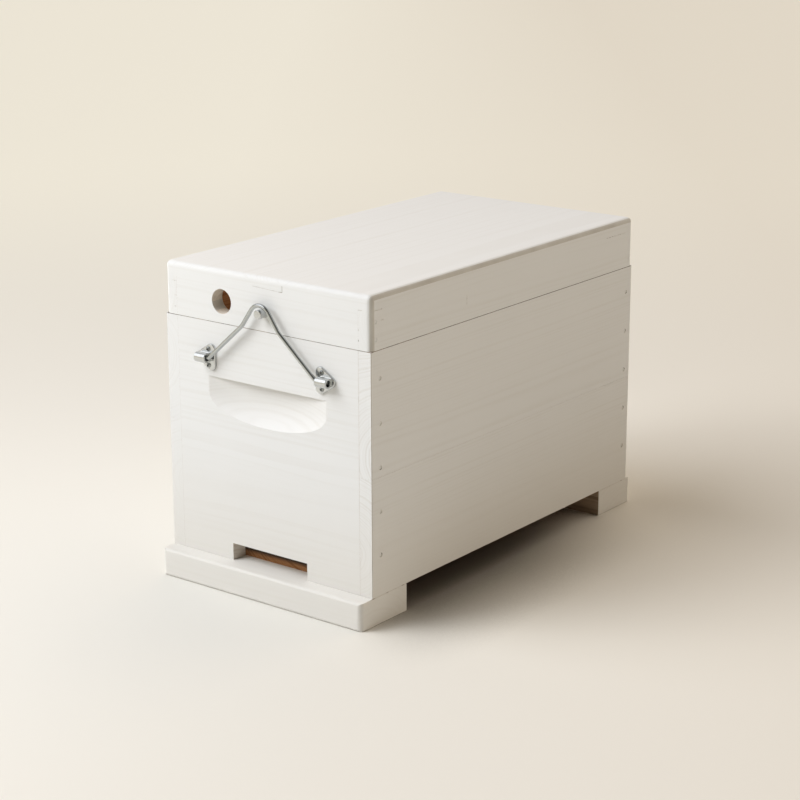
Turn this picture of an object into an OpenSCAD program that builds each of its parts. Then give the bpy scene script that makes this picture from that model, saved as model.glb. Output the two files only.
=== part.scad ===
// Nucleus hive box: painted boards on two cross rails, with a lift-off lid
// that a wire clip holds down at each end.
// Millimetres. The front faces -Y, +X is to its right, +Z is up.
// The origin is on the ground, in the middle of the whole outline.

/* [Body] */
// Width over the side boards
body_w = 260; // [240:1:340]
// Length over the end panels
body_l = 460; // [400:1:560]
// Height of the walls, from the rails to the lid
body_h = 245; // [230:1:320]
// Thickness of the side boards
side_t = 15; // [12:0.5:20]
// Thickness of the end panels
end_t = 18; // [16:0.5:24]
// Height of the joint between the two boards of the right side, above the rails
right_seam_h = 120; // [60:1:150]
// Height of the joint between the two boards of the left side, above the rails
left_seam_h = 136; // [60:1:150]
// Thickness of the floor board
floor_t = 9; // [6:0.5:12]

/* [Rails] */
// Height of the cross rails
rail_h = 29; // [24:1:40]
// How far the front rail stands out as a landing board
front_rail_out = 18; // [14:1:40]
// How far the front rail reaches in under the box
front_rail_in = 54; // [46:1:80]
// How far the rear rail stands out
rear_rail_out = 9; // [6:1:20]
// How far the rear rail reaches in under the box
rear_rail_in = 56; // [46:1:80]
// Rounding of the rails' long outer edges
rail_edge_r = 3; // [1:0.5:6]
// Rounding of the rails' upright outer corners
rail_corner_r = 4; // [1:0.5:6]

/* [Lid] */
// Height of the lid
lid_h = 54; // [48:1:80]
// Thickness of the lid's frame
lid_rail_t = 15; // [13:0.5:20]
// Thickness of the lid's top planks
lid_top_t = 15; // [10:0.5:20]
// Share of the width that the left top plank takes
left_plank_share = 0.5885; // [0.4:0.0005:0.7]
// Rounding of the lid's upright corners
lid_corner_r = 5; // [2:0.5:8]
// Rounding of the lid's top edges
lid_top_r = 4.5; // [2:0.5:8]
// Diameter of the vent hole
vent_d = 25; // [16:0.5:28]
// Distance of the vent hole to the left of the middle, as a share of the width
vent_left_share = 0.2135; // [0.15:0.0005:0.28]
// Height of the vent hole's centre above the lid's lower edge
vent_rise = 22; // [16:0.5:24]

/* [Entrance] */
// Share of the width that the entrance takes
entrance_w_share = 0.373; // [0.26:0.001:0.46]
// Height of the entrance
entrance_h = 18; // [14:0.5:24]

/* [Handholds] */
// Share of the width that a handhold takes
handhold_w_share = 0.585; // [0.46:0.005:0.62]
// Height of a handhold
handhold_h = 42; // [34:1:60]
// Depth of a handhold under its ledge
handhold_depth = 10; // [6:0.5:12]
// Height of the curved foot of a handhold
handhold_foot_h = 26; // [20:1:30]
// Drop of a handhold's ledge below the lid
handhold_drop = 56; // [54:1:80]

/* [Clips] */
// Diameter of the wire
wire_d = 4.2; // [3.5:0.1:4.6]
// Share of the width between the points where the two legs reach the pivot line
clip_span_share = 0.523; // [0.48:0.001:0.56]
// Distance of the wire from the wall
clip_out = 7; // [6.5:0.1:9]
// Drop of the pivot line below the lid
clip_drop = 35.5; // [32:0.5:38]
// Radius of the arch over the stud, at the wire's centre
arch_r = 13; // [10:0.5:16]
// Place of the bend between leg and neck across the half span
shoulder_x_share = 0.335; // [0.28:0.005:0.4]
// Place of the bend between leg and neck up the clip
shoulder_z_share = 0.635; // [0.58:0.005:0.68]
// Radius of the bend between leg and neck
shoulder_r = 20; // [10:1:30]
// Radius of the bend at the barrel
mouth_r = 5; // [4:0.5:8]
// Length of the wire's end in a barrel
pin_l = 11; // [9:0.5:13]

/* [Brackets] */
// Height of a bracket's plate
plate_h = 27; // [25:0.5:30]
// Thickness of a bracket's plate
plate_t = 2.4; // [1.6:0.1:3]
// How far the plate reaches past the barrel's inner end
plate_reach = 6; // [4:0.5:7]
// How far the plate reaches past the barrel's outer end
plate_tip_reach = 4; // [3:0.5:5]
// Rounding of the plate's corners
plate_corner_r = 5.5; // [4:0.5:6]
// Outer diameter of the barrel
barrel_d = 10; // [9:0.1:11]
// Bore of the barrel
barrel_bore = 6.4; // [5.6:0.1:7]
// Length of the barrel
barrel_l = 13.5; // [12:0.5:17]
// Width of the web that ties the barrel to the plate
web_h = 8.6; // [6:0.1:8.8]

/* [Studs] */
// Diameter of a stud
stud_d = 9.2; // [8:0.1:12]
// How far a stud stands out of the lid
stud_out = 11; // [10:0.5:11.5]
// Rounding of a stud's rim
stud_rim_r = 2.5; // [2:0.1:3]
// Height of a stud above the lid's lower edge
stud_rise = 19; // [16:0.5:24]
// Diameter of the spigot that holds a stud in the lid
spigot_d = 5; // [4:0.5:6]
// Length of the spigot
spigot_l = 11; // [8:0.5:12]

/* [Frame rests] */
// Thickness of the battens that carry the frame lugs
rest_t = 27; // [15:1:30]
// Height of the battens
rest_h = 36; // [30:1:50]
// Drop of the battens' tops below the lid
rest_drop = 17; // [12:0.5:22]
// Thickness of the metal runners
runner_t = 1; // [0.8:0.1:1.5]
// How far a runner reaches down the batten
runner_leg = 12; // [8:0.5:14]
// How far a runner stands above the batten
runner_rise = 5; // [4:0.5:8]

/* [Nails] */
// Diameter of a nail
nail_d = 2.2; // [1.8:0.1:2.6]
// Diameter of a nail's head
nail_head_d = 3.8; // [3:0.1:4.5]
// Thickness of a nail's head
nail_head_t = 1.2; // [0.8:0.1:1.6]
// Length of a nail
nail_l = 38; // [32:1:40]
// Height of the lowest wall nail above the rails
nail_first = 41.5; // [30:0.5:50]
// Spacing of the wall nails
nail_pitch = 44; // [36:1:46]
// Distance of the front nails from the front face
front_nail_in = 13.5; // [8:0.5:14]
// Distance of the rear nails from the rear face
rear_nail_in = 11; // [8:0.5:14]

/* [Screws] */
// Distance of the bracket screws from the plate's inner edge
plate_screw_in = 8; // [7:0.1:8.5]
// Height of the bracket screws above and below the barrel's axis
plate_screw_rise = 8.3; // [8.1:0.1:8.6]
// Diameter of a bracket screw
plate_screw_d = 3; // [2.5:0.1:3.5]
// Diameter of a bracket screw's head
plate_screw_head_d = 5.2; // [4.5:0.1:5.6]
// Height of a bracket screw's head
plate_screw_head_h = 1.9; // [1.2:0.1:2.4]
// Length of a bracket screw in the wood
plate_screw_l = 13; // [10:0.5:14]
// Diameter of a countersunk wood screw
wood_screw_d = 4; // [3.5:0.1:4.5]
// Diameter of a countersunk head
wood_screw_head_d = 8; // [7:0.1:9]
// Height of a countersunk head
wood_screw_head_h = 2.4; // [2:0.1:3]
// Depth at which the heads sit below the wood
wood_screw_sink = 0.6; // [0.3:0.1:2]
// Reach of the rail screws into the walls
rail_screw_bite = 22; // [16:1:28]
// Reach of the batten screws into the end panels
rest_screw_bite = 11; // [8:0.5:12]

/* [Clearances] */
// Gap between the wire and the top of the barrel's bore
pin_clear = 0.3; // [0.2:0.05:0.5]
// Gap between the bend in the wire and the barrel
bend_clear = 0.5; // [0.3:0.1:1]
// Gap between the wire's arch and the stud, so that the arch can swing off
stud_clear = 1.6; // [1:0.1:2]
// Gap round the fasteners
hole_clear = 0.1; // [0.05:0.05:0.2]

/* [Hidden] */
$fn = 64;

// Overrun of every cut
over = 1;

// Colours
paint = "#eceae4";
bare = "#b98a5c";
zinc = "#c3c8c9";

// Wire: straight stretches that end short of each corner, where a ball a hair wider joins them
corner_gap = 0.3;
corner_swell = 0.05;
arch_corners = 10;
shoulder_corners = 2;
mouth_corners = 3;

// Corners of the straight stretches that touch an arc from outside
function arc_corners(centre, r, start, sweep, count) = [
    for (i = [0:count - 1])
        let (a = start + (i + 1 / 2) * sweep / count)
            centre + r / cos(sweep / count / 2) * [cos(a), sin(a)]
];

// Places of the walls
front_reach = max(front_rail_out, stud_out, clip_out + barrel_d / 2);
rear_reach = max(rear_rail_out, stud_out, clip_out + barrel_d / 2);
front_y = front_reach - (front_reach + body_l + rear_reach) / 2;
rear_y = front_y + body_l;
inner_w = body_w - 2 * side_t;
inner_l = body_l - 2 * end_t;
lid_z = rail_h + body_h;
lid_rail_h = lid_h - lid_top_t;
lid_inner_w = body_w - 2 * lid_rail_t;

// Handhold: a cutter that turns about an upright axis in front of the wall
handhold_w = handhold_w_share * body_w;
handhold_axis_out = (pow(handhold_w / 2, 2) - pow(handhold_depth, 2)) / (2 * handhold_depth);
handhold_r = handhold_axis_out + handhold_depth;
handhold_foot_r = (pow(handhold_foot_h, 2) + pow(handhold_depth, 2)) / (2 * handhold_depth);
handhold_straight_h = handhold_h - handhold_foot_h;

// Clip: the wire's centre line in its own plane, from the middle and the pivot line
clip_h = clip_drop + stud_rise + stud_d / 2 + stud_clear + wire_d / 2;
mouth_x = clip_span_share * body_w / 2;
shoulder = [shoulder_x_share * mouth_x, shoulder_z_share * clip_h];
arch_c = [0, clip_h - arch_r];
arch_gap = [shoulder.x, arch_c.y - shoulder.y];
leg_a = atan2(shoulder.y, mouth_x - shoulder.x);
neck_a = atan2(arch_gap.y, arch_gap.x) + asin(arch_r / norm(arch_gap));
shoulder_tan = shoulder_r * tan((neck_a - leg_a) / 2);
mouth_tan = mouth_r * tan(leg_a / 2);
leg_dir = [cos(leg_a), -sin(leg_a)];
neck_dir = [cos(neck_a), -sin(neck_a)];
leg_side = [sin(leg_a), cos(leg_a)];
neck_side = [sin(neck_a), cos(neck_a)];
neck_end = shoulder - shoulder_tan * neck_dir;
leg_start = shoulder + shoulder_tan * leg_dir;
leg_end = [mouth_x, 0] - mouth_tan * leg_dir;
pin_start = [mouth_x + mouth_tan, 0];
clip_z = lid_z - clip_drop;

// Brackets: the barrel hangs on the wire, which pulls up against its bore
barrel_in = pin_start.x + bend_clear;
barrel_z = clip_z - (barrel_bore - wire_d) / 2 + pin_clear;
pin_end = [barrel_in + pin_l, 0];
mouth_c = leg_end + mouth_r * leg_side;
shoulder_c = neck_end + shoulder_r * neck_side;
right_path = concat(
    [pin_end],
    arc_corners(mouth_c, mouth_r, 270, -leg_a, mouth_corners),
    arc_corners(shoulder_c, shoulder_r, 270 - leg_a, leg_a - neck_a, shoulder_corners)
);
left_path = [for (i = [len(right_path) - 1:-1:0]) [-right_path[i].x, right_path[i].y]];
arch_path = arc_corners(arch_c, arch_r, 90 - neck_a, 2 * neck_a, arch_corners);
clip_path = concat(right_path, arch_path, left_path);
plate_side_x = barrel_in - plate_reach + plate_corner_r;
plate_tip_x = barrel_in + barrel_l + plate_tip_reach - plate_corner_r;
plate_corner_z = plate_h / 2 - plate_corner_r;
plate_screw_x = barrel_in - plate_reach + plate_screw_in;
plate_dip = 0.05;
plate_corners = [[plate_side_x, plate_corner_z], [plate_side_x, -plate_corner_z], [plate_tip_x, 0]];

// Joint between the lid's two planks
plank_joint_x = (left_plank_share - 1 / 2) * body_w;

// Places of the fasteners
nail_last = floor((body_h - nail_first - nail_head_d) / nail_pitch);
nail_rows = [for (i = [0:nail_last]) rail_h + nail_first + i * nail_pitch];
lid_nail_shares = [0.28, 0.72];
lid_nail_rows = [for (share = lid_nail_shares) lid_z + share * lid_rail_h];
entrance_w = entrance_w_share * body_w;
wall_screw_x = (entrance_w + inner_w) / 4;
side_screw_x = (body_w - side_t) / 2;
side_screw_share = 0.7;
rest_screw_share = 0.2;
rest_z = lid_z - rest_drop - rest_h;
rest_screw_z = rest_z + (rest_h - runner_leg) / 2;
rail_screw_l = rail_h - wood_screw_sink + rail_screw_bite;
rest_screw_l = rest_t - wood_screw_sink + rest_screw_bite;

// Puts children on the front wall, whose outer face is y = 0 with -y outward
module on_front() {
    translate([0, front_y, 0]) children();
}

// Puts children on the rear wall, as a mirror image of the front
module on_rear() {
    translate([0, rear_y, 0]) mirror([0, 1, 0]) children();
}

// Draws children on the right and, mirrored, on the left
module both_sides() {
    children();
    mirror([1, 0, 0]) children();
}

// Polygon with counter-clockwise points whose outline is moved out by r, with round corners;
// its straight edges may dip a hair below the corners' rounds
module round_outline(points, r, dip = 0) {
    polygon(points);
    for (i = [0:len(points) - 1]) {
        from = points[i];
        step = points[(i + 1) % len(points)] - from;
        translate(from) circle(r);
        translate(from) rotate(atan2(step.y, step.x)) translate([0, dip - r])
            square([norm(step), r - dip + r / 2]);
    }
}

// Rectangle about the middle of x, from y = 0 up, with round upper corners
module round_top(w, h, r) {
    translate([-w / 2, 0]) square([w, h - r]);
    translate([r - w / 2, 0]) square([w - 2 * r, h]);
    for (side = [-1, 1]) translate([side * (w / 2 - r), h - r]) circle(r);
}

// Straight nail along -x from a face at x = 0, its head level with the face
module nail() {
    rotate([0, -90, 0]) {
        cylinder(d = nail_d, h = nail_l);
        cylinder(d = nail_head_d, h = nail_head_t);
    }
}

// Hole for a nail, open at the face
module nail_hole() {
    rotate([0, -90, 0]) {
        cylinder(d = nail_d + 2 * hole_clear, h = nail_l + hole_clear);
        translate([0, 0, -over])
            cylinder(d = nail_head_d + 2 * hole_clear, h = over + nail_head_t + hole_clear);
    }
}

// Places children at the wall nails of the right side
module wall_nail_places() {
    for (y = [front_y + front_nail_in, rear_y - rear_nail_in], z = nail_rows)
        translate([body_w / 2, y, z]) children();
}

// Places children at the corner nails of the lid's right side
module lid_nail_places() {
    for (y = [front_y + lid_rail_t / 2, rear_y - lid_rail_t / 2], z = lid_nail_rows)
        translate([body_w / 2, y, z]) children();
}

// Countersunk screw along +z, its head from z = 0
module wood_screw(l, gap = 0) {
    cylinder(d = wood_screw_d + 2 * gap, h = l + gap);
    cylinder(d1 = wood_screw_head_d + 2 * gap, d2 = wood_screw_d + 2 * gap, h = wood_screw_head_h);
}

// Hole for a countersunk screw, with the sink above the head
module wood_screw_hole(l) {
    translate([0, 0, -wood_screw_sink - over])
        cylinder(d = wood_screw_head_d + 2 * hole_clear, h = wood_screw_sink + over);
    wood_screw(l, hole_clear);
}

// Places children at the four screws of a rail, seen from the wall that it carries
module rail_screw_places(reach_in) {
    for (x = [-wall_screw_x, wall_screw_x])
        translate([x, end_t / 2, wood_screw_sink]) children();
    for (x = [-side_screw_x, side_screw_x])
        translate([x, side_screw_share * reach_in, wood_screw_sink]) children();
}

// Places children at the screws of a batten, along -y into the end panel
module rest_screw_places() {
    for (x = [-1, 0, 1] * rest_screw_share * inner_w)
        translate([x, end_t + rest_t - wood_screw_sink, rest_screw_z]) rotate([90, 0, 0]) children();
}

// Places children at the screws of both brackets, with z out of the wall
module plate_screw_places() {
    for (x = [-plate_screw_x, plate_screw_x], z = [-plate_screw_rise, plate_screw_rise])
        translate([x, 0, barrel_z + z]) rotate([90, 0, 0]) children();
}

// Hole that a handhold's cutter leaves in the wall
module handhold_cut() {
    translate([0, -handhold_axis_out, lid_z - handhold_drop]) rotate_extrude() {
        translate([0, -handhold_straight_h]) square([handhold_r, handhold_straight_h]);
        intersection() {
            translate([handhold_r - handhold_foot_r, -handhold_straight_h]) circle(handhold_foot_r);
            translate([0, -handhold_h - over]) square([handhold_r + over, handhold_h + over]);
        }
    }
}

// End panel between the sides, drilled for its fasteners
module end_panel() {
    difference() {
        translate([-inner_w / 2, 0, rail_h]) cube([inner_w, end_t, body_h]);
        handhold_cut();
        plate_screw_places() translate([0, 0, -plate_screw_l - hole_clear])
            cylinder(d = plate_screw_d + 2 * hole_clear, h = plate_screw_l + hole_clear + over);
        rest_screw_places() wood_screw(rest_screw_l, hole_clear);
    }
}

module front_panel() {
    color(paint) difference() {
        on_front() difference() {
            end_panel();
            translate([-entrance_w / 2, -over, rail_h - over])
                cube([entrance_w, end_t + 2 * over, entrance_h + over]);
            rail_screw_places(front_rail_in) wood_screw(rail_screw_l, hole_clear);
        }
        both_sides() wall_nail_places() nail_hole();
    }
}

module rear_panel() {
    color(paint) difference() {
        on_rear() difference() {
            end_panel();
            rail_screw_places(rear_rail_in) wood_screw(rail_screw_l, hole_clear);
        }
        both_sides() wall_nail_places() nail_hole();
    }
}

// Side board on the right, from one height above the rails to another
module side_board(from, to) {
    color(paint) difference() {
        translate([body_w / 2 - side_t, front_y, rail_h + from])
            cube([side_t, body_l, to - from]);
        wall_nail_places() nail_hole();
        on_front() rail_screw_places(front_rail_in) wood_screw(rail_screw_l, hole_clear);
        on_rear() rail_screw_places(rear_rail_in) wood_screw(rail_screw_l, hole_clear);
    }
}

module left_lower_board() {
    mirror([1, 0, 0]) side_board(0, left_seam_h);
}

module left_upper_board() {
    mirror([1, 0, 0]) side_board(left_seam_h, body_h);
}

module right_lower_board() {
    side_board(0, right_seam_h);
}

module right_upper_board() {
    side_board(right_seam_h, body_h);
}

module floor_board() {
    color(bare) translate([-inner_w / 2, front_y + end_t, rail_h])
        cube([inner_w, inner_l, floor_t]);
}

// Outline of a rail from the side, with round outer edges
module rail_profile(out, reach_in) {
    translate([rail_edge_r - out, 0]) square([out + reach_in - rail_edge_r, rail_h]);
    translate([-out, rail_edge_r]) square([rail_edge_r, rail_h - 2 * rail_edge_r]);
    for (z = [rail_edge_r, rail_h - rail_edge_r])
        translate([rail_edge_r - out, z]) circle(rail_edge_r);
}

// Rail under an end wall, with round outer corners, drilled from below
module rail(out, reach_in) {
    color(paint) difference() {
        intersection() {
            translate([-body_w / 2, 0, 0]) rotate([90, 0, 90]) linear_extrude(body_w)
                rail_profile(out, reach_in);
            translate([0, reach_in, 0]) rotate(180) linear_extrude(rail_h)
                round_top(body_w, out + reach_in, rail_corner_r);
        }
        rail_screw_places(reach_in) wood_screw_hole(rail_screw_l);
    }
}

module front_rail() {
    on_front() rail(front_rail_out, front_rail_in);
}

module rear_rail() {
    on_rear() rail(rear_rail_out, rear_rail_in);
}

// Batten on the inside of an end wall
module frame_rest() {
    color(bare) difference() {
        translate([-inner_w / 2, end_t, rest_z]) cube([inner_w, rest_t, rest_h]);
        rest_screw_places() wood_screw_hole(rest_screw_l);
    }
}

module front_frame_rest() {
    on_front() frame_rest();
}

module rear_frame_rest() {
    on_rear() frame_rest();
}

// Folded strip on a batten's inner face, whose hemmed edge carries the frame lugs
module runner() {
    color(zinc) translate([-inner_w / 2, end_t + rest_t, rest_z + rest_h]) rotate([90, 0, 90])
        linear_extrude(inner_w) {
            translate([0, -runner_leg]) square([runner_t, runner_leg + runner_rise - runner_t]);
            translate([-runner_t, 0]) square([runner_t, runner_rise - runner_t]);
            translate([0, runner_rise - runner_t]) circle(runner_t);
        }
}

module front_runner() {
    on_front() runner();
}

module rear_runner() {
    on_rear() runner();
}

module side_nails() {
    color(paint) both_sides() wall_nail_places() nail();
}

module rail_screws() {
    color(zinc) {
        on_front() rail_screw_places(front_rail_in) wood_screw(rail_screw_l);
        on_rear() rail_screw_places(rear_rail_in) wood_screw(rail_screw_l);
    }
}

module rest_screws() {
    color(zinc) {
        on_front() rest_screw_places() wood_screw(rest_screw_l);
        on_rear() rest_screw_places() wood_screw(rest_screw_l);
    }
}

// Right-hand bracket: three-cornered plate with a barrel across it
module bracket() {
    color(zinc) difference() {
        translate([0, 0, barrel_z]) union() {
            rotate([90, 0, 0]) linear_extrude(plate_t)
                round_outline(plate_corners, plate_corner_r, plate_dip);
            translate([barrel_in, -clip_out, -web_h / 2]) cube([barrel_l, clip_out, web_h]);
            translate([barrel_in, -clip_out, 0]) rotate([0, 90, 0])
                cylinder(d = barrel_d, h = barrel_l);
        }
        translate([barrel_in - over, -clip_out, barrel_z]) rotate([0, 90, 0])
            cylinder(d = barrel_bore, h = barrel_l + 2 * over);
        plate_screw_places() translate([0, 0, -over])
            cylinder(d = plate_screw_d + 2 * hole_clear, h = plate_t + 2 * over);
    }
}

module front_left_bracket() {
    on_front() mirror([1, 0, 0]) bracket();
}

module front_right_bracket() {
    on_front() bracket();
}

module rear_left_bracket() {
    on_rear() mirror([1, 0, 0]) bracket();
}

module rear_right_bracket() {
    on_rear() bracket();
}

// Domed screw along z, its head on a bracket's plate
module plate_screw() {
    head_r = plate_screw_head_d / 2;
    dome_r = (pow(head_r, 2) + pow(plate_screw_head_h, 2)) / (2 * plate_screw_head_h);
    translate([0, 0, -plate_screw_l]) cylinder(d = plate_screw_d, h = plate_screw_l + plate_t);
    translate([0, 0, plate_t]) intersection() {
        cylinder(r = head_r, h = plate_screw_head_h);
        translate([0, 0, plate_screw_head_h - dome_r]) sphere(dome_r);
    }
}

module front_bracket_screws() {
    color(zinc) on_front() plate_screw_places() plate_screw();
}

module rear_bracket_screws() {
    color(zinc) on_rear() plate_screw_places() plate_screw();
}

// Block of the lid's full outline from above, with round upright corners
module lid_block(h) {
    translate([0, front_y + body_l / 2, lid_z]) linear_extrude(h) round_outline([
        [body_w / 2 - lid_corner_r, body_l / 2 - lid_corner_r],
        [lid_corner_r - body_w / 2, body_l / 2 - lid_corner_r],
        [lid_corner_r - body_w / 2, lid_corner_r - body_l / 2],
        [body_w / 2 - lid_corner_r, lid_corner_r - body_l / 2]
    ], lid_corner_r);
}

// Lid rail across an end, drilled for its stud and nails
module lid_end_rail() {
    difference() {
        translate([-lid_inner_w / 2, 0, lid_z]) cube([lid_inner_w, lid_rail_t, lid_rail_h]);
        translate([0, -over, lid_z + stud_rise]) rotate([-90, 0, 0])
            cylinder(d = spigot_d + 2 * hole_clear, h = spigot_l + hole_clear + over);
    }
}

module lid_front_rail() {
    color(paint) difference() {
        on_front() lid_end_rail();
        translate([-vent_left_share * body_w, front_y - over, lid_z + vent_rise]) rotate([-90, 0, 0])
            cylinder(d = vent_d, h = lid_rail_t + 2 * over);
        both_sides() lid_nail_places() nail_hole();
    }
}

module lid_rear_rail() {
    color(paint) difference() {
        on_rear() lid_end_rail();
        both_sides() lid_nail_places() nail_hole();
    }
}

// Lid rail along the right side
module lid_side_rail() {
    color(paint) difference() {
        intersection() {
            lid_block(lid_rail_h);
            translate([lid_inner_w / 2, front_y - over, lid_z - over])
                cube([lid_rail_t + over, body_l + 2 * over, lid_rail_h + 2 * over]);
        }
        lid_nail_places() nail_hole();
    }
}

module lid_left_rail() {
    mirror([1, 0, 0]) lid_side_rail();
}

module lid_right_rail() {
    lid_side_rail();
}

// Plank of the lid's top, from one x to another, with round top edges
module lid_plank(from, to) {
    color(paint) intersection() {
        lid_block(lid_h);
        translate([0, rear_y, lid_z]) rotate([90, 0, 0]) linear_extrude(body_l)
            round_top(body_w, lid_h, lid_top_r);
        translate([-body_w / 2, front_y + body_l / 2, lid_z]) rotate([90, 0, 90]) linear_extrude(body_w)
            round_top(body_l, lid_h, lid_top_r);
        translate([from, front_y - over, lid_z + lid_rail_h])
            cube([to - from, body_l + 2 * over, lid_top_t + over]);
    }
}

module lid_left_plank() {
    lid_plank(-body_w / 2 - over, plank_joint_x);
}

module lid_right_plank() {
    lid_plank(plank_joint_x, body_w / 2 + over);
}

module lid_nails() {
    color(paint) both_sides() lid_nail_places() nail();
}

// Stud with a round rim, whose spigot goes into the lid
module stud() {
    color(zinc) translate([0, 0, lid_z + stud_rise]) rotate([90, 0, 0]) {
        translate([0, 0, -spigot_l]) cylinder(d = spigot_d, h = spigot_l);
        rotate_extrude() {
            square([stud_d / 2, stud_out - stud_rim_r]);
            square([stud_d / 2 - stud_rim_r, stud_out]);
            intersection() {
                translate([stud_d / 2 - stud_rim_r, stud_out - stud_rim_r]) circle(stud_rim_r);
                square([stud_d / 2, stud_out]);
            }
        }
    }
}

module front_stud() {
    on_front() stud();
}

module rear_stud() {
    on_rear() stud();
}

// Straight stretch of wire between two points of its plane, a little short at both ends
module wire_run(from, to) {
    step = to - from;
    translate([from.x, from.y, 0]) rotate([0, 0, atan2(step.y, step.x)]) rotate([0, 90, 0])
        translate([0, 0, corner_gap]) cylinder(d = wire_d, h = norm(step) - 2 * corner_gap);
}

// Ball at a corner of the wire, its poles along the way past the corner
module wire_corner(before, at, after) {
    step = after - before;
    translate([at.x, at.y, 0]) rotate([0, 0, atan2(step.y, step.x)]) rotate([0, 90, 0])
        sphere(d = wire_d + 2 * corner_swell);
}

// Wire loop: pins that turn in the barrels, legs, necks and the arch over the stud
module clip() {
    last = len(clip_path) - 1;
    color(zinc) translate([0, -clip_out, clip_z]) rotate([90, 0, 0]) {
        for (i = [0:last - 1]) wire_run(clip_path[i], clip_path[i + 1]);
        for (i = [1:last - 1]) wire_corner(clip_path[i - 1], clip_path[i], clip_path[i + 1]);
    }
}

module front_clip() {
    on_front() clip();
}

module rear_clip() {
    on_rear() clip();
}

front_panel();
rear_panel();
left_lower_board();
left_upper_board();
right_lower_board();
right_upper_board();
floor_board();
front_rail();
rear_rail();
front_frame_rest();
rear_frame_rest();
front_runner();
rear_runner();
side_nails();
rail_screws();
rest_screws();
front_left_bracket();
front_right_bracket();
front_bracket_screws();
rear_left_bracket();
rear_right_bracket();
rear_bracket_screws();
lid_front_rail();
lid_rear_rail();
lid_left_rail();
lid_right_rail();
lid_left_plank();
lid_right_plank();
lid_nails();
front_stud();
rear_stud();
front_clip();
rear_clip();
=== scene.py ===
"""Looks of a white-painted wooden nuc box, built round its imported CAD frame."""

import math

import bmesh
import bpy
from mathutils import Matrix, Vector


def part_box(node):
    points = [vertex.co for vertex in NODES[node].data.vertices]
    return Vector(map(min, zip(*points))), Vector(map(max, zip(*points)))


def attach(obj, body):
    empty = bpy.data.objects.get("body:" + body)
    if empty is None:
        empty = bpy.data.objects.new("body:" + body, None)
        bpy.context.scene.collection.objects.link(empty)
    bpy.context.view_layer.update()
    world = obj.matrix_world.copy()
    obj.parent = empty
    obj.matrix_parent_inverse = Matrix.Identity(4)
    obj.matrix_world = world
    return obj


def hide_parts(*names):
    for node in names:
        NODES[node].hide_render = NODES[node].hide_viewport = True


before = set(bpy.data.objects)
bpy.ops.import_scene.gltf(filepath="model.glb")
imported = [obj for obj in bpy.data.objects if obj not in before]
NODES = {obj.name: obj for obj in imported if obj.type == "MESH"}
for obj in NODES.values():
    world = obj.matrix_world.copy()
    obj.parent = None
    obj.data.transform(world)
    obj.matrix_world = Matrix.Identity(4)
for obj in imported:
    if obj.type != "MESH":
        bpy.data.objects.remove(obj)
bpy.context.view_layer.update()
MM = 0.001
AXES = "xyz"
SAME_PLACE = 0.001 * MM
SAME_PLANE = 0.01 * MM


# Colours, and the real sizes of the patterns in mm

PAINT = "#e8e9e8"
PAINT_LOW = "#cfcbc2"
PAINT_GROUND_SHADE = "#e0dbd0"
# Painted shade: the paint in the handholds is a touch darker than elsewhere
PAINT_HANDHOLD_SHADE = "#e8e8e6"
BARE_LIGHT = "#a9794e"
BARE_DARK = "#86582f"
PAINTED_FLOOR_SHADE = "#3d2716"

# The rings wander slowly, and twelve times as slowly along the grain
WANDER_ACROSS, WANDER_ALONG = 40, 480
FIBRE_ACROSS, FIBRE_ALONG = 1.1, 60
COAT_PATCH = 70
GROUND_SHADE_HEIGHT = 170
BARE_RING, BARE_WANDER = 2.6, 10.0
SHADE_EDGE_FROM, SHADE_EDGE_TO = 33, 36.5
PLATE_CLOUD = 6
RECESS_PATCH = 1.5
GAP_SHADE_RAMP = 200
PAINT_RELIEF, SAWN_RELIEF, PLATE_RELIEF, DIRT_RELIEF = 0.12, 0.3, 0.05, 0.1
# How far apart two seeds start in the rings
SEED_STEP = 7.3


def paint_pot(hex_colour):
    """Linear colour of an sRGB hex value."""
    parts = [int(hex_colour[i:i + 2], 16) / 255 for i in (1, 3, 5)]
    linear = [c / 12.92 if c <= 0.04045 else ((c + 0.055) / 1.055) ** 2.4 for c in parts]
    return (*linear, 1.0)


def add(tree, kind, values=None, **settings):
    """Adds a node with its settings; a value that is another node's output is linked."""
    made = tree.nodes.new(kind)
    for key, value in settings.items():
        setattr(made, key, value)
    for key, value in (values or {}).items():
        if isinstance(value, bpy.types.NodeSocket):
            tree.links.new(value, made.inputs[key])
        else:
            made.inputs[key].default_value = value
    return made


def new_material(name):
    """Material with an empty tree, its shader and its output."""
    material = bpy.data.materials.new(name)
    material.use_nodes = True
    tree = material.node_tree
    tree.nodes.clear()
    shader = add(tree, "ShaderNodeBsdfPrincipled")
    add(tree, "ShaderNodeOutputMaterial", {"Surface": shader.outputs["BSDF"]})
    return material, tree, shader


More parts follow.
